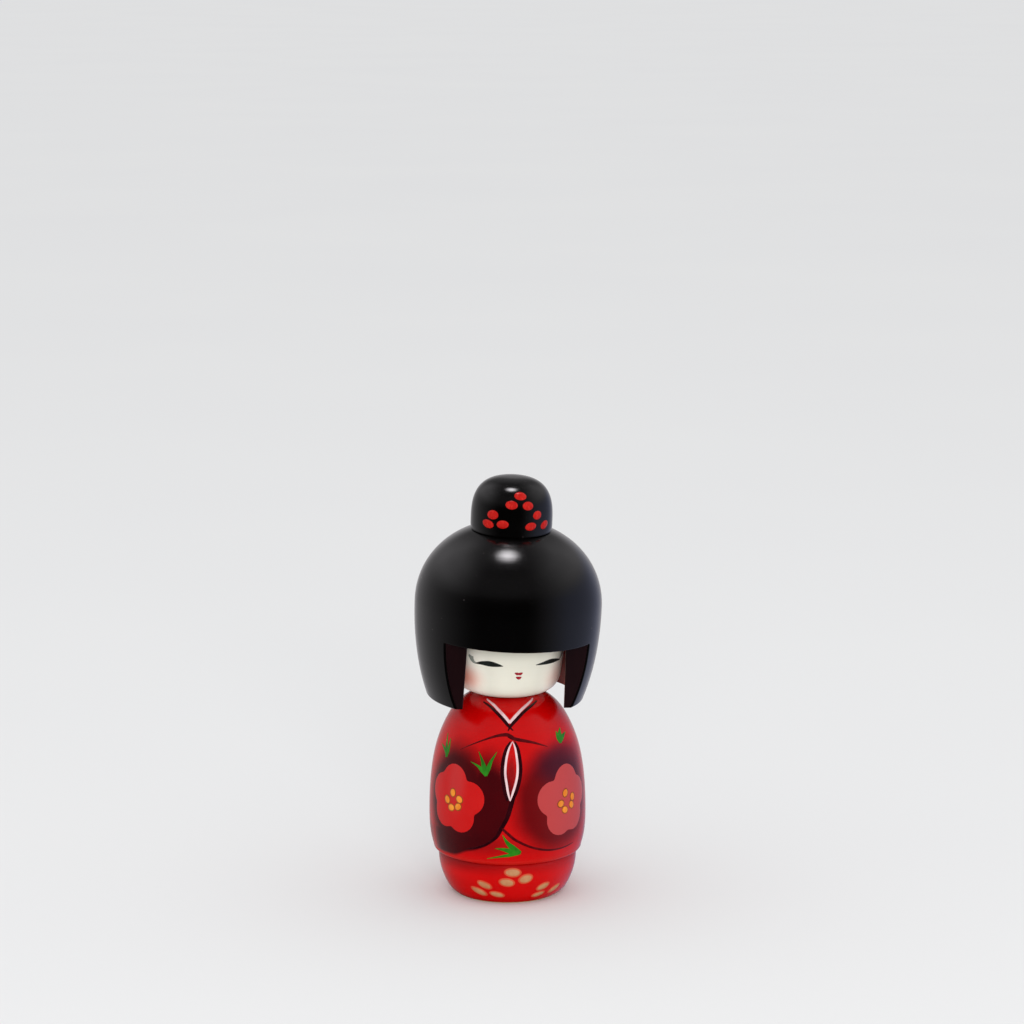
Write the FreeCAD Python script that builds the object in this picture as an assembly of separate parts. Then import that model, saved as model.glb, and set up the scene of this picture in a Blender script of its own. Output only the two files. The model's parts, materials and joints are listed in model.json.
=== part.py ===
import FreeCAD, Part
import math
import os

# A turned wooden kokeshi doll, in millimetres. The origin is the centre of the flat foot,
# +Z is up and the kimono's front faces -Y. Every piece is turned about its own axis and
# glued or pegged to the next. Only the head moves: it turns on the neck dowel.

# --- body: a kimono with a foot, a hem band, a sleeve that overhangs it, and shoulders ---
# Outline points are (radius, height).
FOOT_RADIUS = 16.8
HEM_SWELL = [(18.9, 1.5), (21.0, 5.0), (22.4, 9.4)]
HEM_TOP = (22.8, 12.8)
HEM_EDGE = (22.7, 13.8)
GROOVE = (22.3, 14.6)
LIP_FOOT = (23.5, 14.8)
LIP_EDGE = (24.15, 15.2)
LIP_TOP = (24.5, 16.2)
LIP_RISE = (25.45, 20.2)
SLEEVE_RADIUS = 25.9
SLEEVE_WIDEST_HEIGHT = 27.5
SLEEVE_RISE = [(25.3, 40.0), (23.5, 50.0)]
SHOULDER_RADIUS = 20.4
SHOULDER_HEIGHT = 58.0
SHOULDER_SLOPE = [(17.3, 62.9), (14.6, 65.5)]
NECK_RADIUS = 10.8
BODY_HEIGHT = 67.5

# --- how the head sits: turned to the doll's left, bowed, and a little off centre ---
HEAD_TURN_DEG = 9.9
HEAD_BOW_DEG = 3.6
HEAD_ROLL_DEG = 1.6
HEAD_OFFSET_X = -0.9
NECK_PIVOT_HEIGHT = 67.0

# --- face: a turned block with a rounded chin and a tenon that holds the hair ---
FACE_BOTTOM = 68.6
FACE_BOTTOM_RADIUS = 11.6
CHIN = [(14.3, 69.6), (16.5, 71.1), (17.75, 73.4), (18.35, 76.8), (18.8, 81.4)]
CHEEK_HEIGHT = 87.0
FACE_RADIUS = 19.0
FACE_TOP = 92.9
TENON_RADIUS = 9.0
TENON_TOP = 105.0

# --- hair: a hollow bell with a window for the face ---
HAIR_RADIUS = 30.7
HAIR_WIDEST = 97.4
HAIR_CROWN_REACH = 27.4
HAIR_SKIRT_REACH = 54.3
HAIR_POWER = 2.09
HAIR_RIM = 66.5
RIM_ROUNDING = 0.8
RIM_CORNER_INSET = 0.35
RIM_CORNER_LIFT = 0.2
CAVITY_RIM_RADIUS = 23.5
CAVITY_TOP_RADIUS = 24.5
CAVITY_TOP = FACE_TOP
CROWN_FLAT = 122.8
FRINGE_HEIGHT = 89.05
FRINGE_TILT_DEG = 1.0
WINDOW_DEPTH = 17.7
WINDOW_DEPTH_HEIGHT = 76.0
WINDOW_SLANT_DEG = 4.3
WINDOW_EDGE_ROUNDING = 0.3

# --- bun: a domed knob on the crown's flat ---
BUN_RADIUS = 13.35
BUN_WIDEST = 125.4
BUN_TOP_REACH = 14.6
BUN_FOOT_REACH = 8.0
BUN_POWER = 2.9

# --- dowels ---
NECK_DOWEL_RADIUS = 4.0
NECK_DOWEL_BOTTOM = 50.0
NECK_DOWEL_TOP = 84.0
NECK_RUNNING_CLEARANCE = 0.05
BUN_DOWEL_RADIUS = 2.5
BUN_DOWEL_BOTTOM = 112.0
BUN_DOWEL_TOP = 131.0
DOWEL_END_ROOM = 0.5

Z_AXIS = FreeCAD.Vector(0, 0, 1)
ORIGIN = FreeCAD.Vector(0, 0, 0)


def point(radius, height):
    """A point of a turned outline, which lies in the XZ plane."""
    return FreeCAD.Vector(radius, 0, height)


def line(start, end):
    return Part.LineSegment(point(*start), point(*end)).toShape()


def arc(start, middle, end):
    return Part.Arc(point(*start), point(*middle), point(*end)).toShape()


def smooth(points):
    """One smooth curve through the points."""
    curve = Part.BSplineCurve()
    curve.interpolate([point(*p) for p in points])
    return curve.toShape()


def turned(edges):
    """The solid of revolution of a closed outline beside the Z axis."""
    outline = Part.Face(Part.Wire(edges))
    return outline.revolve(ORIGIN, Z_AXIS, 360)


def rod(radius, bottom, top):
    return Part.makeCylinder(radius, top - bottom, point(0, bottom))


def swell(radius, reach, power, offset):
    """Radius of a superellipse at a height offset from its widest place."""
    return radius * (1 - (abs(offset) / reach) ** power) ** (1 / power)


def hair_radius(height):
    offset = height - HAIR_WIDEST
    reach = HAIR_CROWN_REACH if offset > 0 else HAIR_SKIRT_REACH
    return swell(HAIR_RADIUS, reach, HAIR_POWER, offset)


def swell_curve(radius, widest, reach, power, start, end, count):
    """The stretch of a superellipse between two heights on one side of its widest place."""

    def angle(height):
        share = round(abs(height - widest) / reach, 9)
        return math.asin(share ** (power / 2))

    side = 1 if max(start, end) > widest else -1
    first = angle(start)
    step = (angle(end) - first) / (count - 1)
    points = []
    for i in range(count):
        across = math.cos(first + i * step) ** (2 / power)
        along = abs(math.sin(first + i * step)) ** (2 / power)
        points.append((radius * across, widest + side * reach * along))
    return smooth(points)


def head_placement():
    """Where the head stands on the body: the head is modelled upright on the Z axis."""
    turn = FreeCAD.Rotation(Z_AXIS, HEAD_TURN_DEG)
    bow = FreeCAD.Rotation(FreeCAD.Vector(1, 0, 0), HEAD_BOW_DEG)
    roll = FreeCAD.Rotation(FreeCAD.Vector(0, 1, 0), HEAD_ROLL_DEG)
    offset = FreeCAD.Vector(HEAD_OFFSET_X, 0, 0)
    return FreeCAD.Placement(offset, turn * bow * roll, point(0, NECK_PIVOT_HEIGHT))


def on_neck(shape):
    placed = shape.copy()
    placed.transformShape(head_placement().toMatrix(), False)
    return placed


def make_body():
    widest = (SLEEVE_RADIUS, SLEEVE_WIDEST_HEIGHT)
    shoulder = (SHOULDER_RADIUS, SHOULDER_HEIGHT)
    neck = (NECK_RADIUS, BODY_HEIGHT)
    solid = turned(
        [
            line((0, 0), (FOOT_RADIUS, 0)),
            smooth([(FOOT_RADIUS, 0), *HEM_SWELL, HEM_TOP]),
            arc(HEM_TOP, HEM_EDGE, GROOVE),
            line(GROOVE, LIP_FOOT),
            arc(LIP_FOOT, LIP_EDGE, LIP_TOP),
            smooth([LIP_TOP, LIP_RISE, widest, *SLEEVE_RISE, shoulder, *SHOULDER_SLOPE, neck]),
            line(neck, (0, BODY_HEIGHT)),
            line((0, BODY_HEIGHT), (0, 0)),
        ]
    )
    hole = rod(NECK_DOWEL_RADIUS, NECK_DOWEL_BOTTOM, BODY_HEIGHT + 10)
    return solid.cut(on_neck(hole))


def make_neck_dowel():
    return on_neck(rod(NECK_DOWEL_RADIUS, NECK_DOWEL_BOTTOM, NECK_DOWEL_TOP))


def make_face():
    start = (FACE_BOTTOM_RADIUS, FACE_BOTTOM)
    cheek = (FACE_RADIUS, CHEEK_HEIGHT)
    chin = smooth([start, *CHIN, cheek, (FACE_RADIUS, FACE_TOP)])
    solid = turned(
        [
            line((0, FACE_BOTTOM), start),
            chin,
            line((FACE_RADIUS, FACE_TOP), (TENON_RADIUS, FACE_TOP)),
            line((TENON_RADIUS, FACE_TOP), (TENON_RADIUS, TENON_TOP)),
            line((TENON_RADIUS, TENON_TOP), (0, TENON_TOP)),
            line((0, TENON_TOP), (0, FACE_BOTTOM)),
        ]
    )
    bore_radius = NECK_DOWEL_RADIUS + NECK_RUNNING_CLEARANCE
    bore = rod(bore_radius, FACE_BOTTOM - 1, NECK_DOWEL_TOP + DOWEL_END_ROOM)
    return on_neck(solid.cut(bore))


def make_hair_bell():
    """The turned bell before its window is sawn out."""
    rim_corner = hair_radius(HAIR_RIM + RIM_ROUNDING)
    rim_foot = rim_corner - RIM_ROUNDING - RIM_CORNER_INSET
    skirt = (HAIR_RADIUS, HAIR_WIDEST, HAIR_SKIRT_REACH, HAIR_POWER)
    crown = (HAIR_RADIUS, HAIR_WIDEST, HAIR_CROWN_REACH, HAIR_POWER)
    rim_middle = (rim_corner - RIM_CORNER_INSET, HAIR_RIM + RIM_CORNER_LIFT)
    flat_radius = hair_radius(CROWN_FLAT)
    cavity_rim = (CAVITY_RIM_RADIUS, HAIR_RIM)
    cavity_corner = (CAVITY_TOP_RADIUS, CAVITY_TOP)
    return turned(
        [
            line(cavity_rim, (rim_foot, HAIR_RIM)),
            arc((rim_foot, HAIR_RIM), rim_middle, (rim_corner, HAIR_RIM + RIM_ROUNDING)),
            swell_curve(*skirt, HAIR_RIM + RIM_ROUNDING, HAIR_WIDEST, 9),
            swell_curve(*crown, HAIR_WIDEST, CROWN_FLAT, 11),
            line((flat_radius, CROWN_FLAT), (0, CROWN_FLAT)),
            line((0, CROWN_FLAT), (0, TENON_TOP)),
            line((0, TENON_TOP), (TENON_RADIUS, TENON_TOP)),
            line((TENON_RADIUS, TENON_TOP), (TENON_RADIUS, CAVITY_TOP)),
            line((TENON_RADIUS, CAVITY_TOP), cavity_corner),
            line(cavity_corner, cavity_rim),
        ]
    )


def make_window_cutter():
    """What the saw takes away below the fringe and in front of the side locks."""
    size = 4 * HAIR_RADIUS
    corner = FreeCAD.Vector(-size / 2, -size, WINDOW_DEPTH_HEIGHT - size / 2)
    front = Part.makeBox(size, size, size, corner)
    hinge_line = FreeCAD.Vector(0, 0, WINDOW_DEPTH_HEIGHT)
    front.rotate(hinge_line, FreeCAD.Vector(1, 0, 0), WINDOW_SLANT_DEG)
    front.translate(FreeCAD.Vector(0, -WINDOW_DEPTH, 0))
    corner = FreeCAD.Vector(-size, -2 * size, FRINGE_HEIGHT)
    above_fringe = Part.makeBox(2 * size, 4 * size, size, corner)
    fringe_middle = FreeCAD.Vector(0, 0, FRINGE_HEIGHT)
    above_fringe.rotate(fringe_middle, FreeCAD.Vector(0, 1, 0), FRINGE_TILT_DEG)
    return front.cut(above_fringe)


def window_edges(cap):
    """The edges of the flat faces that the saw left."""
    edges = []
    for face in cap.Faces:
        flat = isinstance(face.Surface, Part.Plane)
        if flat and face.CenterOfMass.y < -WINDOW_DEPTH / 2:
            edges += [e for e in face.Edges if not any(e.isSame(known) for known in edges)]
    return edges


def make_hair_cap():
    cap = make_hair_bell().cut(make_window_cutter())
    cap = cap.makeFillet(WINDOW_EDGE_ROUNDING, window_edges(cap))
    dowel_hole = rod(BUN_DOWEL_RADIUS, BUN_DOWEL_BOTTOM, CROWN_FLAT + 1)
    return on_neck(cap.cut(dowel_hole))


def make_bun():
    foot_radius = swell(BUN_RADIUS, BUN_FOOT_REACH, BUN_POWER, CROWN_FLAT - BUN_WIDEST)
    bun_top = BUN_WIDEST + BUN_TOP_REACH
    flank = (BUN_RADIUS, BUN_WIDEST, BUN_FOOT_REACH, BUN_POWER)
    dome = (BUN_RADIUS, BUN_WIDEST, BUN_TOP_REACH, BUN_POWER)
    solid = turned(
        [
            line((0, CROWN_FLAT), (foot_radius, CROWN_FLAT)),
            swell_curve(*flank, CROWN_FLAT, BUN_WIDEST, 5),
            swell_curve(*dome, BUN_WIDEST, bun_top, 13),
            line((0, bun_top), (0, CROWN_FLAT)),
        ]
    )
    dowel_hole = rod(BUN_DOWEL_RADIUS, CROWN_FLAT - 1, BUN_DOWEL_TOP)
    return on_neck(solid.cut(dowel_hole))


def make_bun_dowel():
    return on_neck(rod(BUN_DOWEL_RADIUS, BUN_DOWEL_BOTTOM, BUN_DOWEL_TOP))


PIECES = {
    "body": make_body,
    "neck_dowel": make_neck_dowel,
    "face": make_face,
    "hair_cap": make_hair_cap,
    "bun": make_bun,
    "bun_dowel": make_bun_dowel,
}


def print_neck_axis():
    placement = head_placement()
    axis = placement.Rotation.multVec(Z_AXIS)
    pivot = placement.multVec(point(0, NECK_PIVOT_HEIGHT))
    print("neck axis", [round(v, 5) for v in axis], "through", [round(v, 3) for v in pivot])


def main():
    os.makedirs("parts", exist_ok=True)
    for name, make in PIECES.items():
        shape = make()
        print(name, shape.isValid(), len(shape.Solids), round(shape.Volume))
        shape.exportStep(f"parts/{name}.step")
    print_neck_axis()


main()
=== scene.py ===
"""Kokeshi doll: materials, painted decoration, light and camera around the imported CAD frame."""
import json
import math

import bmesh
import bpy
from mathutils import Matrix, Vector
from mathutils.bvhtree import BVHTree


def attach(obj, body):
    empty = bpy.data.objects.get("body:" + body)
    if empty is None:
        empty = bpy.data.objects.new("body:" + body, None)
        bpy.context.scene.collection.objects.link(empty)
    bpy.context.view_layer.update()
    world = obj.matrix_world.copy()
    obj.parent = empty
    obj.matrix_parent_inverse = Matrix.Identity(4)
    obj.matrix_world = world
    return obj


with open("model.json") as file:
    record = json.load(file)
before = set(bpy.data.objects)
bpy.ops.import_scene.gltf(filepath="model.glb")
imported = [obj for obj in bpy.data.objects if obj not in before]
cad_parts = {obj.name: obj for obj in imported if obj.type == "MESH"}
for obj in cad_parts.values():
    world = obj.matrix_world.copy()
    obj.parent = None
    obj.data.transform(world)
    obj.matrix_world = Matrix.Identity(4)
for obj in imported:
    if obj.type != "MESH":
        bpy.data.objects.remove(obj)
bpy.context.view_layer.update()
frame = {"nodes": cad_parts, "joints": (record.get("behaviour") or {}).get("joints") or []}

MM = 0.001
ORIGIN = Vector((0, 0, 0))
UP = Vector((0, 0, 1))
FORWARD = Vector((0, -1, 0))

# The head's own front, in degrees from the body's front towards the doll's left.
HEAD_TURN = 9.9
NECK_HEIGHT = 67.0

# Rays that find the surface start this far out, in metres, and paint sinks this far in, in mm.
RAY_START = 0.06
SINK = 0.12
STROKE_STEPS = 10

# The hair bell's outline: widest radius and height, reach up and down, and how square it is.
HAIR_RADIUS = 30.7
HAIR_WIDEST = 97.4
HAIR_CROWN_REACH = 27.4
HAIR_SKIRT_REACH = 54.3
HAIR_POWER = 2.09

# The hair's bore, which widens by 1 mm from its rim to its top, BORE_DEPTH higher.
HAIR_RIM = 66.5
BORE_RIM_RADIUS = 23.5
BORE_DEPTH = 26.4

# The ledge where the sleeve overhangs the hem, as a height on the body.
LEDGE = 14.6

# Relief of brushed paint in mm, and how fine the two kinds of noise are.
PAINT_RELIEF = 0.03
NOISE_ROUGHNESS = 0.55
LATHE_DETAIL = 4.0


# ---------------------------------------------------------------- colours and nodes

def srgb(red, green, blue):
    """Linear colour of three 0 to 255 display values."""
    def linear(value):
        share = value / 255
        return share / 12.92 if share <= 0.04045 else ((share + 0.055) / 1.055) ** 2.4
    return (linear(red), linear(green), linear(blue), 1.0)


class Field:
    """A number that varies over a surface: a socket whose arithmetic adds Math nodes."""

    def __init__(self, tree, socket):
        self.tree = tree
        self.socket = socket

    def math(self, operation, *others):
        node = self.tree.nodes.new("ShaderNodeMath")
        node.operation = operation
        for slot, value in enumerate((self, *others)):
            if isinstance(value, Field):
                self.tree.links.new(value.socket, node.inputs[slot])
            else:
                node.inputs[slot].default_value = value
        return Field(self.tree, node.outputs[0])

    def __add__(self, other):
        return self.math("ADD", other)

    def __sub__(self, other):
        return self.math("SUBTRACT", other)

    def __mul__(self, other):
        return self.math("MULTIPLY", other)

    def __truediv__(self, other):
        return self.math("DIVIDE", other)

    def power(self, other):
        return self.math("POWER", other)

    def flipped(self):
        """One minus this."""
        return self.math("MULTIPLY_ADD", -1.0, 1.0)

    def rise(self, low, high):
        """0 below low, 1 above high, and a smooth step between."""
        node = self.tree.nodes.new("ShaderNodeMapRange")
        node.interpolation_type = "SMOOTHSTEP"
        self.tree.links.new(self.socket, node.inputs["Value"])
        node.inputs["From Min"].default_value = min(low, high)
        node.inputs["From Max"].default_value = max(low, high)
        node.inputs["To Min"].default_value = 0.0 if low < high else 1.0
        node.inputs["To Max"].default_value = 1.0 if low < high else 0.0
        return Field(self.tree, node.outputs["Result"])


class Finish:
    """A material being built round one Principled shader."""

    def __init__(self, name, roughness, specular=0.5):
        self.material = bpy.data.materials.new(name)
        self.material.use_nodes = True
        self.tree = self.material.node_tree
        self.shader = self.tree.nodes["Principled BSDF"]
        self.shader.inputs["Roughness"].default_value = roughness
        self.shader.inputs["Specular IOR Level"].default_value = specular
        self.place = self.tree.nodes.new("ShaderNodeTexCoord").outputs["Object"]

    def along(self, origin, direction):
        """How far a place lies from origin along direction, in millimetres."""
        away = self.tree.nodes.new("ShaderNodeVectorMath")
        away.operation = "SUBTRACT"
        self.tree.links.new(self.place, away.inputs[0])
        away.inputs[1].default_value = origin
        dot = self.tree.nodes.new("ShaderNodeVectorMath")
        dot.operation = "DOT_PRODUCT"
        self.tree.links.new(away.outputs["Vector"], dot.inputs[0])
        dot.inputs[1].default_value = Vector(direction) / MM
        return Field(self.tree, dot.outputs["Value"])

    def round_axis(self, surface):
        """Degrees round a turned piece, millimetres up it and millimetres from its axis."""
        across = self.along(surface.foot, surface.side)
        ahead = self.along(surface.foot, surface.front)
        height = self.along(surface.foot, surface.axis)
        angle = across.math("ARCTAN2", ahead) * (180 / math.pi)
        radius = (across * across + ahead * ahead).math("SQRT")
        return angle, height, radius

    def noise(self, per_metre, stretch=(1, 1, 1), detail=3.0):
        """Noise from 0 to 1, stretched by direction."""
        mapping = self.tree.nodes.new("ShaderNodeMapping")
        mapping.inputs["Scale"].default_value = stretch
        self.tree.links.new(self.place, mapping.inputs["Vector"])
        node = self.tree.nodes.new("ShaderNodeTexNoise")
        node.inputs["Scale"].default_value = per_metre
        node.inputs["Detail"].default_value = detail
        node.inputs["Roughness"].default_value = NOISE_ROUGHNESS
        self.tree.links.new(mapping.outputs["Vector"], node.inputs["Vector"])
        return Field(self.tree, node.outputs["Fac"])

    def noise_along(self, value, per_unit):
        """Noise from 0 to 1 that changes only with one number."""
        node = self.tree.nodes.new("ShaderNodeTexNoise")
        node.noise_dimensions = "1D"
        node.inputs["Scale"].default_value = per_unit
        node.inputs["Detail"].default_value = LATHE_DETAIL
        self.tree.links.new(value.socket, node.inputs["W"])
        return Field(self.tree, node.outputs["Fac"])

    def specks(self, per_metre, size):
        """1 on small scattered specks, 0 elsewhere."""
        node = self.tree.nodes.new("ShaderNodeTexVoronoi")
        node.inputs["Scale"].default_value = per_metre
        self.tree.links.new(self.place, node.inputs["Vector"])
        return Field(self.tree, node.outputs["Distance"]).rise(size, size * 0.4)

    def mix(self, share, first, second):
        """Colour that goes from first to second with share."""
        node = self.tree.nodes.new("ShaderNodeMix")
        node.data_type = "RGBA"
        self.tree.links.new(share.socket, node.inputs["Factor"])
        for name, value in (("A", first), ("B", second)):
            socket = [s for s in node.inputs if s.name == name and s.type == "RGBA"][0]
            if isinstance(value, tuple):
                socket.default_value = value
            else:
                self.tree.links.new(value, socket)
        return [s for s in node.outputs if s.type == "RGBA"][0]

    def colour(self, socket):
        self.tree.links.new(socket, self.shader.inputs["Base Color"])

    def roughness(self, field):
        self.tree.links.new(field.socket, self.shader.inputs["Roughness"])

    def bump(self, field, depth_mm, strength=1.0):
        """Relief whose full height is depth_mm."""
        node = self.tree.nodes.new("ShaderNodeBump")
        node.inputs["Strength"].default_value = strength
        node.inputs["Distance"].default_value = depth_mm * MM
        self.tree.links.new(field.socket, node.inputs["Height"])
        self.tree.links.new(node.outputs["Normal"], self.shader.inputs["Normal"])


# ---------------------------------------------------------------- paint laid on the wood

class Axis:
    """An upright line with a front: degrees run from the front towards the side."""

    def __init__(self, foot, axis, front):
        self.foot = foot
        self.axis = axis
        self.front = front
        self.side = axis.cross(front)


class Surface(Axis):
    """A turned piece, addressed by degrees round its axis from its front and height in mm."""

    def __init__(self, node, foot, axis, front):
        super().__init__(foot, axis, front)
        mesh = frame["nodes"][node].data
        corners = [v.co for v in mesh.vertices]
        self.tree = BVHTree.FromPolygons(corners, [tuple(p.vertices) for p in mesh.polygons])

    def at(self, degrees, height):
        """Point and outward normal."""
        turn = math.radians(degrees)
        outward = self.front * math.cos(turn) + self.side * math.sin(turn)
        start = self.foot + self.axis * (height * MM) + outward * RAY_START
        hit, normal, _, _ = self.tree.ray_cast(start, -outward)
        return hit, normal

    def near(self, point):
        """Nearest point of the surface and its normal."""
        hit, normal, _, _ = self.tree.find_nearest(point)
        return hit, normal

    def local(self, degrees, height):
        """Function from millimetres right and up of a spot to point and normal."""
        hit, normal = self.at(degrees, height)
        along = (hit - self.foot).dot(self.axis)
        radius = (hit - self.foot - self.axis * along).length / MM
        slope = math.sqrt(max(0.04, 1 - normal.dot(self.axis) ** 2))

        def place(right, up):
            return self.at(degrees + math.degrees(right / radius), height + up * slope)
        return place


class Paint:
    """Closed thin lumps of paint that share one mesh."""

    def __init__(self):
        self.points = []
        self.faces = []

    def add(self, point):
        self.points.append(point)
        return len(self.points) - 1

    def patch(self, place, outline, lift, roundness, rings):
        """A spot of paint inside outline, a list of (right, up) round the spot's centre."""
        hit, normal = place(0, 0)
        centre = self.add(hit + normal * lift * MM)
        below = self.add(hit - normal * SINK * MM * 3)
        count = len(outline)
        previous = None
        for ring in range(1, rings + 1):
            share = math.sin(math.pi / 2 * ring / rings)
            rise = lift * (1 - share ** roundness)
            current = []
            for right, up in outline:
                hit, normal = place(right * share, up * share)
                current.append(self.add(hit + normal * rise * MM))
            for k in range(count):
                after = (k + 1) % count
                if previous is None:
                    self.faces.append((centre, current[k], current[after]))
                else:
                    self.faces.append((previous[k], current[k], current[after], previous[after]))
            previous = current
        skirt = []
        for right, up in outline:
            hit, normal = place(right, up)
            skirt.append(self.add(hit - normal * SINK * MM))
        for k in range(count):
            after = (k + 1) % count
            self.faces.append((previous[k], skirt[k], skirt[after], previous[after]))
            self.faces.append((skirt[k], below, skirt[after]))

    def stroke(self, surface, path, lift):
        """A brush stroke along path, a list of (degrees, height, width)."""
        samples = smooth_path(path)
        centres = [surface.at(degrees, height) for degrees, height, _ in samples]
        count = len(samples)
        rows = []
        for k in range(count):
            before = max(k - 1, 0)
            after = min(k + 1, count - 1)
            hit, normal = centres[k]
            tangent = (centres[after][0] - centres[before][0]).normalized()
            side = normal.cross(tangent).normalized()
            half = samples[k][2] / 2 * MM
            row = []
            for share in (-1, -0.9, -0.6, 0, 0.6, 0.9, 1):
                spot, up = surface.near(hit + side * half * share)
                row.append(self.add(spot + up * lift * MM * (1 - share ** 4)))
            for share in (1, -1):
                spot, up = surface.near(hit + side * half * share)
                row.append(self.add(spot - up * SINK * MM))
            rows.append(row)
        self.tube(rows)

    def tube(self, rows):
        """Joins rows of points one after another and caps both ends."""
        width = len(rows[0])
        for here, there in zip(rows, rows[1:]):
            for j in range(width):
                after = (j + 1) % width
                self.faces.append((here[j], here[after], there[after], there[j]))
        self.faces.append(tuple(reversed(rows[0])))
        self.faces.append(tuple(rows[-1]))

    def finish(self, name, finish, body, slot):
        mesh = bpy.data.meshes.new(name)
        mesh.from_pydata(self.points, [], self.faces)
        mesh.update()
        shade_smooth(mesh)
        mesh.materials.append(finish.material)
        piece = bpy.data.objects.new(name, mesh)
        bpy.context.scene.collection.objects.link(piece)
        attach(piece, body)


def shade_smooth(mesh):
    """Points every face outward and shades it smooth."""
    work = bmesh.new()
    work.from_mesh(mesh)
    bmesh.ops.recalc_face_normals(work, faces=work.faces)
    for face in work.faces:
        face.smooth = True
    work.to_mesh(mesh)
    work.free()


def smooth_path(path):
    """Points on a straight line between two points, or on a Catmull-Rom curve through more."""
    steps = STROKE_STEPS
    count = len(path)
    if count == 2:
        return [
            tuple(a + (b - a) * k / steps for a, b in zip(path[0], path[1]))
            for k in range(steps + 1)
        ]
    made = []
    for span in range(count - 1):
        four = [path[min(max(span + offset, 0), count - 1)] for offset in (-1, 0, 1, 2)]
        for step in range(steps):
            t = step / steps
            made.append(tuple(catmull(a, b, c, d, t) for a, b, c, d in zip(*four)))
    made.append(tuple(path[-1]))
    return made


def catmull(a, b, c, d, t):
    """Catmull-Rom curve through a, b, c and d, at share t of the way from b to c."""
    return 0.5 * (
        2 * b
        + (c - a) * t
        + (2 * a - 5 * b + 4 * c - d) * t ** 2
        + (3 * b - a - 3 * c + d) * t ** 3
    )


def beside(path, degrees, up, wider):
    """The same path moved round and up, and drawn wider."""
    return tuple((at + degrees, height + up, width * wider) for at, height, width in path)


def oval(width, height, tilt, count=28):
    """Outline of a slightly tilted oval, in millimetres."""
    turn = math.radians(tilt)
    outline = []
    for k in range(count):
        angle = 2 * math.pi * k / count
        right = width / 2 * math.cos(angle)
        up = height / 2 * math.sin(angle)
        outline.append((
            right * math.cos(turn) - up * math.sin(turn),
            right * math.sin(turn) + up * math.cos(turn),
        ))
    return outline


def blossom(petals, count=120):
    """Outline of a plum blossom: one round petal at each angle, with its reach in mm."""
    outline = []
    for k in range(count):
        angle = 2 * math.pi * k / count
        best = 0.0
        for petal, reach in petals:
            offset = reach * PETAL_OFFSET
            radius = reach - offset
            gap = angle - math.radians(petal)
            under = radius ** 2 - (offset * math.sin(gap)) ** 2
            if under > 0 and math.cos(gap) > 0:
                best = max(best, offset * math.cos(gap) + math.sqrt(under))
        outline.append((best * math.cos(angle), best * math.sin(angle)))
    return soften(outline)


def soften(outline, times=2):
    """The outline with its notches eased."""
    for _ in range(times):
        count = len(outline)
        outline = [
            tuple(
                (outline[k - 1][j] + 2 * outline[k][j] + outline[(k + 1) % count][j]) / 4
                for j in (0, 1)
            )
            for k in range(count)
        ]
    return outline


PETAL_OFFSET = 0.52

# Painted features on the body: degrees from the front towards the doll's left, height in mm.
LEFT_BLOSSOM = (-42.5, 35.6)
LEFT_PETALS = ((98, 11.7), (12, 11.6), (-64, 11.2), (-134, 11.4), (160, 12.0))
LEFT_STAMENS = ((-44.0, 37.8), (-49.5, 35.1), (-37.5, 36.0), (-45.0, 32.8), (-38.5, 33.5))
RIGHT_BLOSSOM = (48.5, 34.6)
RIGHT_PETALS = ((82, 12.2), (163, 12.0), (-118, 11.6), (-56, 11.2), (18, 11.6))
RIGHT_STAMENS = ((47.5, 37.4), (55.5, 35.5), (54.0, 33.0), (46.5, 31.9), (42.5, 34.2))

# Hem dabs and bun dabs: degrees, height, width, height of the oval, tilt.
HEM_DABS = (
    (4.5, 12.0, 5.6, 3.0, -4), (15.5, 9.6, 4.9, 3.2, 14), (-0.5, 8.5, 5.2, 3.0, -8),
    (-20.0, 7.2, 5.2, 2.6, -22), (-26.5, 4.5, 6.0, 2.6, -24), (-9.5, 3.9, 5.0, 2.3, -14),
    (33.0, 6.0, 5.0, 2.6, 20), (30.0, 3.2, 4.8, 2.1, 14), (48.0, 4.1, 5.4, 2.3, 26),
)
BUN_DABS = (
    (3.0, 136.1, 4.0, 2.9, -6), (-11.0, 133.4, 4.0, 2.8, -4), (14.0, 133.1, 3.7, 2.8, 0),
    (-38.0, 129.8, 4.0, 3.0, 4), (-45.0, 126.6, 4.4, 2.7, -8), (-22.5, 127.0, 4.0, 2.7, 4),
    (28.5, 129.9, 3.4, 2.8, 10), (18.0, 126.4, 4.0, 2.6, 6), (43.0, 126.3, 3.8, 2.6, 20),
)

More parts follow.
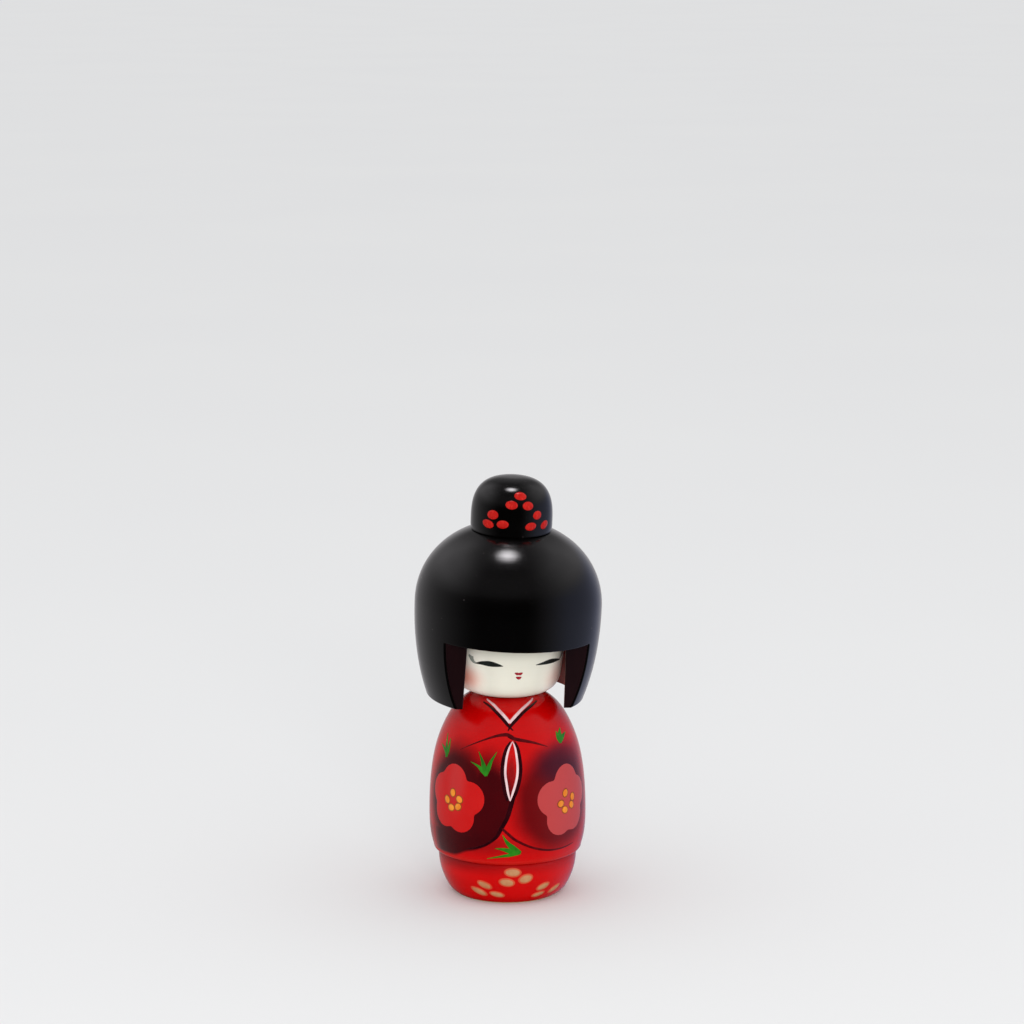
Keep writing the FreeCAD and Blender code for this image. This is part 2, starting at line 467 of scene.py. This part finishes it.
# Brush strokes: (degrees, height, width) along each one, the face's from the head's front.
COLLAR = (
    ((-34.0, 67.1, 0.5), (-20.0, 66.1, 0.85), (-10.0, 64.6, 0.95), (-2.5, 62.9, 1.0),
     (2.5, 61.2, 0.9)),
    ((44.0, 67.1, 0.5), (28.5, 66.0, 0.85), (17.0, 64.7, 0.95), (8.5, 63.0, 1.0),
     (2.0, 61.2, 0.9)),
)
SLEEVE_TOPS = (
    ((5.5, 56.8, 0.9), (-0.5, 57.7, 1.2), (-9.5, 57.3, 0.9), (-20.0, 56.0, 0.6),
     (-33.0, 53.8, 0.35), (-42.0, 51.9, 0.15)),
    ((0.5, 57.2, 0.7), (7.0, 56.4, 1.2), (20.0, 55.3, 0.9), (29.0, 54.2, 0.6),
     (35.5, 53.2, 0.2)),
)
SLIT = (
    ((4.5, 55.7, 0.2), (1.5, 53.7, 0.6), (-0.5, 51.0, 0.75), (-1.5, 47.9, 0.8),
     (-1.5, 45.1, 0.8), (-0.5, 42.2, 0.8), (0.5, 39.5, 0.75), (2.0, 36.9, 0.35)),
    ((4.5, 55.7, 0.2), (6.5, 53.7, 0.6), (7.5, 50.9, 0.75), (8.0, 47.9, 0.8),
     (7.5, 45.0, 0.8), (6.0, 42.2, 0.8), (4.0, 39.5, 0.75), (2.0, 36.9, 0.35)),
)
LEFT_HEM = (
    (4.5, 38.6, 1.5), (2.5, 35.2, 1.5), (0.0, 31.4, 1.4), (-4.5, 27.6, 1.3), (-8.0, 24.8, 1.1),
    (-15.5, 22.1, 0.9), (-23.5, 20.6, 0.7), (-32.5, 19.6, 0.2),
)
RIGHT_HEM = (
    (-4.5, 28.0, 0.8), (1.0, 25.7, 1.0), (6.0, 23.8, 0.9), (14.5, 21.7, 0.8), (22.5, 20.3, 0.8),
    (32.0, 19.3, 0.75), (42.0, 19.0, 0.6), (51.0, 19.2, 0.5), (58.0, 19.7, 0.15),
)
GRASS = (
    ((-16.5, 44.8, 0.6), (-19.0, 46.2, 1.4), (-23.5, 47.7, 0.8), (-30.0, 48.8, 0.15)),
    ((-16.5, 44.7, 0.8), (-18.0, 47.0, 1.7), (-20.5, 49.7, 0.9), (-24.0, 52.3, 0.15)),
    ((-16.5, 44.8, 0.8), (-15.0, 47.0, 1.5), (-12.5, 49.7, 0.9), (-8.5, 52.5, 0.15)),
    ((-57.0, 48.4, 0.6), (-59.5, 50.2, 1.2), (-69.0, 51.8, 0.15)),
    ((-57.0, 48.4, 0.8), (-59.0, 51.0, 1.3), (-64.5, 55.6, 0.15)),
    ((-56.5, 48.4, 0.8), (-56.0, 51.0, 1.3), (-57.0, 54.4, 0.15)),
    ((50.5, 53.4, 0.8), (50.0, 55.2, 1.9), (49.5, 57.2, 0.2)),
    ((50.5, 53.4, 0.9), (52.5, 55.6, 2.0), (56.5, 57.8, 0.2)),
    ((51.0, 53.6, 0.9), (55.0, 54.9, 1.6), (62.5, 56.1, 0.2)),
    ((10.0, 19.6, 0.7), (4.5, 21.0, 1.8), (0.0, 22.9, 1.2), (-3.5, 25.6, 0.15)),
    ((10.0, 19.4, 0.9), (3.0, 19.9, 1.9), (-3.0, 20.6, 1.1), (-9.0, 20.9, 0.15)),
    ((9.5, 19.1, 0.6), (2.0, 18.6, 1.2), (-6.0, 18.0, 0.7), (-15.5, 17.1, 0.15)),
)
EYES = (
    ((-42.0, 81.2, 0.25), (-35.0, 81.65, 1.2), (-26.5, 81.75, 1.85), (-19.0, 81.55, 1.25),
     (-13.0, 81.3, 0.2)),
    ((21.0, 81.4, 0.2), (29.0, 81.55, 0.95), (39.0, 81.7, 1.55), (49.5, 81.45, 1.1),
     (59.5, 80.95, 0.3)),
)
LASHES = (
    ((-41.5, 81.3, 0.6), (-44.5, 81.7, 1.1), (-47.0, 82.7, 1.4), (-50.0, 83.6, 0.6)),
    ((-45.5, 82.2, 0.9), (-45.0, 83.4, 0.4)),
    ((57.5, 81.2, 0.4), (60.0, 82.0, 0.8), (60.5, 83.4, 0.5)),
    ((59.5, 81.3, 0.4), (63.0, 82.2, 0.8), (64.5, 83.5, 0.5)),
)
LIPS = (
    ((-1.0, 79.1, 0.35), (1.5, 78.75, 1.0), (3.0, 78.7, 0.8), (5.0, 78.75, 1.0),
     (7.0, 79.1, 0.35)),
    ((0.5, 77.6, 0.4), (3.5, 77.3, 1.1), (6.0, 77.6, 0.4)),
)

# Airbrushed shade on the kimono: centre in degrees and mm, half width in degrees, half height.
LEFT_SHADE = (LEFT_BLOSSOM, 37, 20.5)
RIGHT_SHADE = ((41.0, 35.5), 44, 20.5)
FRONT_SHADE = ((-14.0, 32.5), 27, 23.5)
PLUM_SHADE = ((50.0, 47.5), 36, 8.5)
SLIT_INSIDE = ((3.0, 44.0), 5.0, 9.0)
PINK_BAND = ((-41.0, 42.0), 11, 13.0)

# Airbrushed cheeks: degrees, height, half width in degrees, strength.
BLUSHES = ((-60.0, 75.6, 31, 0.8), (55.0, 75.8, 24, 0.28))


# ---------------------------------------------------------------- finishes

def ellipse_far(angle, height, centre, half_degrees, half_mm):
    """Distance from centre, 1 on the rim of an ellipse."""
    across = (angle - centre[0]) / half_degrees
    up = (height - centre[1]) / half_mm
    return (across * across + up * up).math("SQRT")


def kimono_finish(surface):
    """Red lacquer with dark airbrushed shade round the blossoms and on the sleeves, a painted
    shadow under the ledge and a painted highlight along it.
    """
    made = Finish("kimono_lacquer", 0.2, 0.34)
    angle, height, radius = made.round_axis(surface)
    wander = (made.noise(90, detail=2.0) - 0.5) * 0.16
    left = ellipse_far(angle, height, *LEFT_SHADE) + wander
    right = ellipse_far(angle, height, *RIGHT_SHADE) + wander
    front = ellipse_far(angle, height, *FRONT_SHADE) + wander
    plum = ellipse_far(angle, height, *PLUM_SHADE) + wander
    low = (angle + 34.0).math("ABSOLUTE").rise(44, 26) * height.rise(29, 24)
    # The two sleeve hems fall away from the front: shade stays above them.
    left_edge = (angle / 12.5).math("EXPONENT") * 12.3 + 18.1 - angle.rise(-30, -46) * 1.6
    right_edge = (angle / -14.5).math("EXPONENT") * 7.6 + 18.6
    above_left = (height - left_edge).rise(-1.0, 0.5)
    above_right = (height - right_edge).rise(-0.7, 0.5)
    left_shade = left.rise(1.12, 0.62).math("MAXIMUM", front.rise(1.08, 0.55))
    left_shade = left_shade.math("MAXIMUM", low) * above_left
    right_shade = right.rise(1.08, 0.6) * above_right
    # Painted shadow under the ledge's overhang, with some airbrushed dark, stronger on the doll's
    # right.
    under_ledge_shadow = height.rise(LEDGE - 5.1, LEDGE - 0.4) * height.rise(LEDGE + 0.3, LEDGE - 0.3)
    under_ledge_shadow = under_ledge_shadow * (angle.rise(10, -50) * 0.26 + 0.33)
    slit = ellipse_far(angle, height, *SLIT_INSIDE).rise(1.1, 0.3) * 0.6
    skirt = height.rise(16.0, 21.5) * height.rise(27.0, 23.0)
    skirt = skirt * (angle.rise(5, -12) * 0.2 + 0.28)
    veil = (height.rise(15.0, 19.0) * 0.1).math("MAXIMUM", skirt)
    grain = made.noise_along(height, 2.2)
    cloud = made.noise(70, detail=4.0)
    red = made.mix(cloud, srgb(178, 0, 1), srgb(204, 1, 1))
    red = made.mix((grain - 0.5).math("ABSOLUTE") * 0.4, red, srgb(120, 0, 2))
    shade = left_shade.math("MAXIMUM", right_shade * 0.84)
    shade = shade.math("MAXIMUM", under_ledge_shadow).math("MAXIMUM", slit).math("MAXIMUM", veil)
    shaded = made.mix(shade * (cloud * 0.12 + 0.88), red, srgb(34, 0, 5))
    shaded = made.mix(plum.rise(1.1, 0.4) * above_right * 0.66, shaded, srgb(40, 4, 26))
    # Painted highlight along the ledge's rounded edge: a paler band just above it.
    ledge_highlight = height.rise(LEDGE - 0.1, LEDGE + 0.4) * height.rise(LEDGE + 2.4, LEDGE + 1.2) * 0.42
    shaded = made.mix(ledge_highlight, shaded, srgb(172, 30, 20))
    bare = height.rise(0.5, 0.2)
    rings = made.noise_along(radius, 3.0)
    wood = made.mix(rings, srgb(196, 158, 108), srgb(222, 190, 142))
    made.colour(made.mix(bare, shaded, wood))
    made.roughness(cloud * 0.1 + bare * 0.4 + 0.17)
    fine = made.noise(1400, detail=2.0)
    made.bump(grain * 0.6 + fine * 0.25 + made.specks(260, 0.06) * 0.6, 0.02, 0.5)
    return made


def hair_finish(surface, name, shell):
    """Gloss black outside; where shell is true, dark maroon on sawn faces and inside, with
    painted light on the bore's red-brown wall near the rim.
    """
    made = Finish(name, 0.16)
    _, height, radius = made.round_axis(surface)
    grain = made.noise_along(height, 1.6)
    cloud = made.noise(55, detail=3.0)
    specks = made.specks(210, 0.035)
    black = made.mix(cloud, srgb(1, 1, 1), srgb(4, 3, 3))
    black = made.mix(specks * 0.5, black, srgb(120, 110, 110))
    if shell:
        up = height - HAIR_WIDEST
        share_up = up.math("MAXIMUM", 0.0) / HAIR_CROWN_REACH
        share_down = up.math("MINIMUM", 0.0).math("ABSOLUTE") / HAIR_SKIRT_REACH
        across = (radius / HAIR_RADIUS).power(HAIR_POWER)
        full = across + share_up.power(HAIR_POWER) + share_down.power(HAIR_POWER)
        sawn = full.rise(0.975, 0.955)
        fibre = made.noise(420, (1.0, 1.0, 0.08), 4.0)
        maroon = made.mix(fibre, srgb(18, 2, 6), srgb(32, 4, 7))
        bore = (height - HAIR_RIM) / BORE_DEPTH + BORE_RIM_RADIUS
        wall = (radius - bore).rise(0.3, 0.1)
        # Red-brown stain on the bore's wall with painted light: lighter near the rim where light
        # gets in, darker higher up.
        wall_stain_and_light = made.mix(height.rise(84, 75), srgb(26, 3, 3), srgb(124, 30, 8))
        maroon = made.mix(wall, maroon, wall_stain_and_light)
        black = made.mix(sawn, black, maroon)
        made.roughness(sawn * 0.22 + cloud * 0.06 + 0.13)
    else:
        made.roughness(cloud * 0.08 + 0.12)
    made.colour(black)
    made.bump(grain * 0.6 + made.noise(900, detail=2.0) * 0.2 + specks, 0.015, 0.4)
    return made


def face_finish(surface):
    """Ivory lacquer with two airbrushed blushes, painted light on its sides and a painted shadow
    under the fringe.
    """
    made = Finish("face_ivory", 0.34)
    angle, height, _ = made.round_axis(surface)
    cloud = made.noise(160, detail=3.0)
    grain = made.noise_along(height, 1.5)
    ivory = made.mix(cloud, srgb(222, 219, 205), srgb(214, 211, 196))
    # Painted light: the face's sides are paler, standing in for light that the hair locks shut
    # out.
    painted_side_light = angle.math("ABSOLUTE").rise(24, 46)
    ivory = made.mix(painted_side_light, ivory, srgb(248, 243, 230))
    ivory = made.mix((grain - 0.5).math("ABSOLUTE") * 0.35, ivory, srgb(206, 194, 172))
    # Painted shadow of the fringe: darker towards the top of the forehead.
    ivory = made.mix(height.rise(82.5, 87.5) * 0.55, ivory, srgb(176, 175, 160))
    for degrees, up, wide, strength in BLUSHES:
        far = ellipse_far(angle, height, (degrees, up), wide, 6.0) + (cloud - 0.5) * 0.2
        ivory = made.mix(far.rise(1.1, 0.05) * strength, ivory, srgb(234, 126, 98))
    made.colour(ivory)
    made.roughness(cloud * 0.1 + 0.3)
    made.bump(grain * 0.4 + made.noise(1500, detail=2.0) * 0.3, 0.012, 0.5)
    made.shader.inputs["Subsurface Weight"].default_value = 0.05
    made.shader.inputs["Subsurface Radius"].default_value = (0.002, 0.0012, 0.0008)
    made.shader.inputs["Subsurface Scale"].default_value = 0.5
    return made


def paint_finish(name, low, high, roughness, streak=700):
    """Brushed paint between two colours, with the streaks of a small brush."""
    made = Finish(name, roughness, 0.3)
    streaks = made.noise(streak, (1.0, 1.0, 0.35), 3.0)
    patches = made.noise(streak * 0.3, detail=2.0)
    share = (streaks * 0.6 + patches * 0.5).rise(0.3, 0.8)
    made.colour(made.mix(share, low, high))
    made.roughness(streaks * 0.15 + roughness - 0.07)
    made.bump(streaks + patches * 0.5, PAINT_RELIEF, 0.4)
    return made


def petal_finish(surface):
    """Petal red, with a paler pink band over the doll's left blossom."""
    made = Finish("paint_petal", 0.24, 0.4)
    angle, height, _ = made.round_axis(surface)
    cloud = made.noise(110, detail=3.0)
    red = made.mix(cloud, srgb(176, 4, 4), srgb(192, 12, 10))
    band = ellipse_far(angle, height, *PINK_BAND) + (cloud - 0.5) * 0.3
    pink = (band.rise(1.1, 0.2) * 0.34).math("MAXIMUM", angle.rise(0, 10) * 0.9)
    made.colour(made.mix(pink, red, srgb(174, 62, 62)))
    made.roughness(cloud * 0.1 + 0.2)
    made.bump(made.noise(1200, detail=2.0) + cloud, 0.01, 0.4)
    return made


def wood_finish(name, surface):
    """Turned bare wood: long grain with faint tool rings."""
    made = Finish(name, 0.55)
    _, height, _ = made.round_axis(surface)
    grain = made.noise(900, (1.0, 1.0, 0.06), 5.0)
    rings = made.noise_along(height, 2.5)
    wood = made.mix(grain, srgb(188, 148, 98), srgb(226, 196, 150))
    made.colour(made.mix(rings * 0.3, wood, srgb(160, 118, 74)))
    made.bump(grain * 0.7 + rings * 0.3, 0.04, 0.6)
    return made


def dress(node, finish):
    """Gives a CAD node its finish."""
    mesh = frame["nodes"][node].data
    if not mesh.materials:
        mesh.materials.append(finish.material)
    for index in range(len(mesh.materials)):
        mesh.materials[index] = finish.material


# ---------------------------------------------------------------- the doll

def head_frame():
    """Foot, axis and front of the head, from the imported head_turn joint."""
    joint = [j for j in frame["joints"] if j["name"] == "head_turn"][0]
    axis = Vector(joint["axis"]).normalized()
    neck = Vector(joint["pos_m"])
    turn = math.radians(HEAD_TURN)
    ahead = Vector((math.sin(turn), -math.cos(turn), 0))
    front = (ahead - axis * ahead.dot(axis)).normalized()
    return neck - axis * NECK_HEIGHT * MM, axis, front


def decorate_body(body):
    dark = paint_finish("paint_outline", srgb(30, 0, 5), srgb(48, 1, 8), 0.24)
    fold = paint_finish("paint_fold", srgb(62, 0, 5), srgb(92, 0, 6), 0.24)
    white = paint_finish("paint_blush_white", srgb(206, 166, 172), srgb(226, 198, 198), 0.34)
    green = paint_finish("paint_green", srgb(20, 88, 6), srgb(40, 132, 16), 0.34)
    petal = petal_finish(body)
    gold = paint_finish("paint_stamen", srgb(208, 110, 14), srgb(228, 144, 44), 0.34)
    rim = paint_finish("paint_stamen_rim", srgb(116, 50, 8), srgb(146, 72, 16), 0.34)
    tan = paint_finish("paint_tan", srgb(172, 112, 72), srgb(186, 140, 98), 0.36, 900)
    salmon = paint_finish("paint_salmon", srgb(188, 60, 34), srgb(198, 88, 54), 0.34, 900)

    blossoms = Paint()
    for spot, petals in ((LEFT_BLOSSOM, LEFT_PETALS), (RIGHT_BLOSSOM, RIGHT_PETALS)):
        blossoms.patch(body.local(*spot), blossom(petals), lift=0.07, roundness=10, rings=10)
    blossoms.finish("blossoms", petal, "torso", "kimono_lacquer")

    stamens = Paint()
    rims = Paint()
    for k, (degrees, height) in enumerate(LEFT_STAMENS + RIGHT_STAMENS):
        spot = body.local(degrees, height)
        stamens.patch(spot, oval(2.5, 3.0, 31 * k), lift=0.26, roundness=3, rings=5)
        rims.patch(spot, oval(3.1, 3.6, 31 * k), lift=0.13, roundness=6, rings=5)
    stamens.finish("stamens", gold, "torso", "kimono_lacquer")
    rims.finish("stamen_rims", rim, "torso", "kimono_lacquer")

    dabs = Paint()
    edges = Paint()
    for degrees, height, width, tall, tilt in HEM_DABS:
        spot = body.local(degrees, height)
        inside = oval(width - 0.4, tall - 0.4, tilt)
        outside = oval(width + 0.3, tall + 0.3, tilt)
        dabs.patch(spot, inside, lift=0.2, roundness=4, rings=6)
        edges.patch(spot, outside, lift=0.1, roundness=6, rings=6)
    dabs.finish("hem_dabs", tan, "torso", "kimono_lacquer")
    edges.finish("hem_dab_edges", salmon, "torso", "kimono_lacquer")

    outlines = Paint()
    outlines.stroke(body, LEFT_HEM, 0.05)
    for side, collar, slit in zip((-1, 1), COLLAR, SLIT):
        tail = (3.0 - side * 2.5, 58.9, 0.3)
        outlines.stroke(body, beside(collar, side * 2.0, -0.7, 1.1) + (tail,), 0.05)
        outlines.stroke(body, beside(slit, side * 1.8, 0.0, 2.0), 0.05)
    outlines.finish("outlines", dark, "torso", "kimono_lacquer")

    folds = Paint()
    for path in SLEEVE_TOPS + (RIGHT_HEM,):
        folds.stroke(body, path, 0.05)
    folds.finish("sleeve_folds", fold, "torso", "kimono_lacquer")

    lines = Paint()
    for path in COLLAR + SLIT:
        lines.stroke(body, path, 0.12)
    lines.finish("white_lines", white, "torso", "kimono_lacquer")

    grass = Paint()
    for path in GRASS:
        grass.stroke(body, path, 0.1)
    grass.finish("grass", green, "torso", "kimono_lacquer")


def decorate_face(face):
    ink = paint_finish("paint_ink", srgb(14, 16, 16), srgb(34, 40, 36), 0.3)
    grey = paint_finish("paint_lash", srgb(128, 134, 126), srgb(160, 164, 154), 0.4)
    rouge = paint_finish("paint_rouge", srgb(138, 18, 34), srgb(164, 40, 52), 0.34)
    for name, paths, finish in (
        ("eyes", EYES, ink), ("lashes", LASHES, grey), ("lips", LIPS, rouge),
    ):
        marks = Paint()
        for path in paths:
            marks.stroke(face, path, 0.06)
        marks.finish(name, finish, "head", "face_ivory")


def decorate_bun(bun):
    red = paint_finish("paint_bun_red", srgb(156, 5, 2), srgb(186, 26, 16), 0.26, 900)
    dabs = Paint()
    for degrees, height, width, tall, tilt in BUN_DABS:
        spot = bun.local(degrees, height)
        dabs.patch(spot, oval(width, tall, tilt), lift=0.28, roundness=3, rings=6)
    dabs.finish("bun_dabs", red, "head", "bun_red")


def build_doll():
    body = Surface("body", ORIGIN, UP, FORWARD)
    foot, axis, front = head_frame()
    face = Surface("face", foot, axis, front)
    hair = Surface("hair_cap", foot, axis, front)
    bun = Surface("bun", foot, axis, front)
    dress("body", kimono_finish(body))
    dress("face", face_finish(face))
    dress("hair_cap", hair_finish(hair, "hair_black", True))
    dress("bun", hair_finish(bun, "bun_black", False))
    dress("neck_dowel", wood_finish("neck_dowel_wood", hair))
    dress("bun_dowel", wood_finish("bun_dowel_wood", hair))
    decorate_body(body)
    decorate_face(face)
    decorate_bun(bun)


# ---------------------------------------------------------------- studio

CAMERA_PLACE = (0.0015, -1.0599, 0.3200)
CAMERA_DOWN = 10.3
CAMERA_LENS = 116.0
FLOOR_HALF = 30.0
SKY = (0.965, 0.97, 0.975, 1.0)

# The dim room that the lacquer reflects, in millimetres, with the doll at its centre.
ROOM_RADIUS = 400
ROOM_HEIGHT = 500
ROOM_FLOOR = 0.4
ROOM_SIDES = 48


def build_camera():
    data = bpy.data.cameras.new("camera")
    data.lens = CAMERA_LENS
    data.sensor_width = 36.0
    data.clip_start = 0.01
    camera = bpy.data.objects.new("camera", data)
    camera.location = CAMERA_PLACE
    camera.rotation_euler = (math.radians(90 - CAMERA_DOWN), 0, 0)
    bpy.context.scene.collection.objects.link(camera)
    bpy.context.scene.camera = camera


def area_light(name, place, target, size, watts):
    data = bpy.data.lights.new(name, "AREA")
    data.shape = "DISK"
    data.size = size
    data.energy = watts
    light = bpy.data.objects.new(name, data)
    light.location = place
    aim = Vector(target) - Vector(place)
    light.rotation_euler = aim.to_track_quat("-Z", "Y").to_euler()
    light.visible_glossy = False
    bpy.context.scene.collection.objects.link(light)


def stage_mesh(name, points, faces, finish):
    mesh = bpy.data.meshes.new(name)
    mesh.from_pydata(points, [], faces)
    mesh.materials.append(finish.material)
    thing = bpy.data.objects.new(name, mesh)
    bpy.context.scene.collection.objects.link(thing)
    return thing


def build_floor():
    made = Finish("floor_paper", 1.0, 0.0)
    made.colour(made.mix(made.noise(3, detail=2.0), srgb(225, 225, 226), srgb(228, 228, 228)))
    half = FLOOR_HALF
    points = [(-half, -half, 0), (half, -half, 0), (half, half, 0), (-half, half, 0)]
    stage_mesh("floor", points, [(0, 1, 2, 3)], made)


def gloss_room_finish():
    """Glow of the room, brighter at the sides than in front, with a lamp overhead."""
    made = Finish("gloss_room", 1.0, 0.0)
    angle, height, radius = made.round_axis(Axis(ORIGIN, UP, FORWARD))
    other = angle * -1.0
    left = other.rise(28, 140) * 0.44 + other.rise(140, 170) * 0.2
    middle = left + angle.rise(20, 85) * 0.36 + angle.rise(115, 170) * 0.28 + 0.003
    low = middle + 0.01
    back = angle.math("ABSOLUTE").rise(125, 165)
    upper = other.rise(35, 105) * 0.62 + angle.rise(30, 105) * 0.5 + 0.13
    upper = upper * back.flipped() + back * 0.2
    above = height.rise(0, 90)
    wall = low * above.flipped() + middle * above
    high = height.rise(170, 350)
    wall = wall * high.flipped() + upper * high
    spot = Axis(Vector((0, -30 * MM, 0)), UP, FORWARD)
    lamp = made.round_axis(spot)[2].rise(90, 5) * 18.0
    ceiling = upper * radius.rise(60, 380) + radius.rise(320, 60) * 0.14 + lamp
    top = height.rise(ROOM_HEIGHT - 6, ROOM_HEIGHT - 2)
    glow = wall * top.flipped() + ceiling * top
    blue = angle.rise(30, 80) * angle.rise(170, 125) * height.rise(280, 150)
    tint = made.mix(blue, (1.0, 0.97, 1.0, 1.0), (0.84, 0.9, 1.25, 1.0))
    made.shader.inputs["Base Color"].default_value = srgb(0, 0, 0)
    made.tree.links.new(tint, made.shader.inputs["Emission Color"])
    made.tree.links.new(glow.socket, made.shader.inputs["Emission Strength"])
    made.material.cycles.emission_sampling = "NONE"
    return made


def build_gloss_room():
    """A dim round room about the doll that only gloss sees."""
    count = ROOM_SIDES
    reach = ROOM_RADIUS * MM
    points = [(0, 0, ROOM_FLOOR * MM), (0, 0, ROOM_HEIGHT * MM)]
    for level in (ROOM_FLOOR, ROOM_HEIGHT):
        for k in range(count):
            turn = 2 * math.pi * k / count
            points.append((reach * math.cos(turn), reach * math.sin(turn), level * MM))
    faces = []
    for k in range(count):
        here, there = 2 + k, 2 + (k + 1) % count
        faces.append((0, there, here))
        faces.append((here, there, there + count, here + count))
        faces.append((1, here + count, there + count))
    room = stage_mesh("gloss_room", points, faces, gloss_room_finish())
    room.visible_camera = False
    room.visible_diffuse = False
    room.visible_shadow = False
    room.visible_transmission = False


def build_studio():
    build_camera()
    build_floor()
    build_gloss_room()
    world = bpy.data.worlds.new("studio")
    world.use_nodes = True
    world.node_tree.nodes["Background"].inputs["Color"].default_value = SKY
    world.node_tree.nodes["Background"].inputs["Strength"].default_value = 1.0
    world.cycles_visibility.glossy = False
    bpy.context.scene.world = world
    bpy.context.scene.view_settings.view_transform = "Standard"
    area_light("key", (0.1, -1.6, 0.42), (0, 0, 0.08), 0.9, 12.0)
    area_light("overhead", (0.0, -0.1, 1.5), (0, 0, 0.1), 0.4, 1.0)


build_doll()
build_studio()
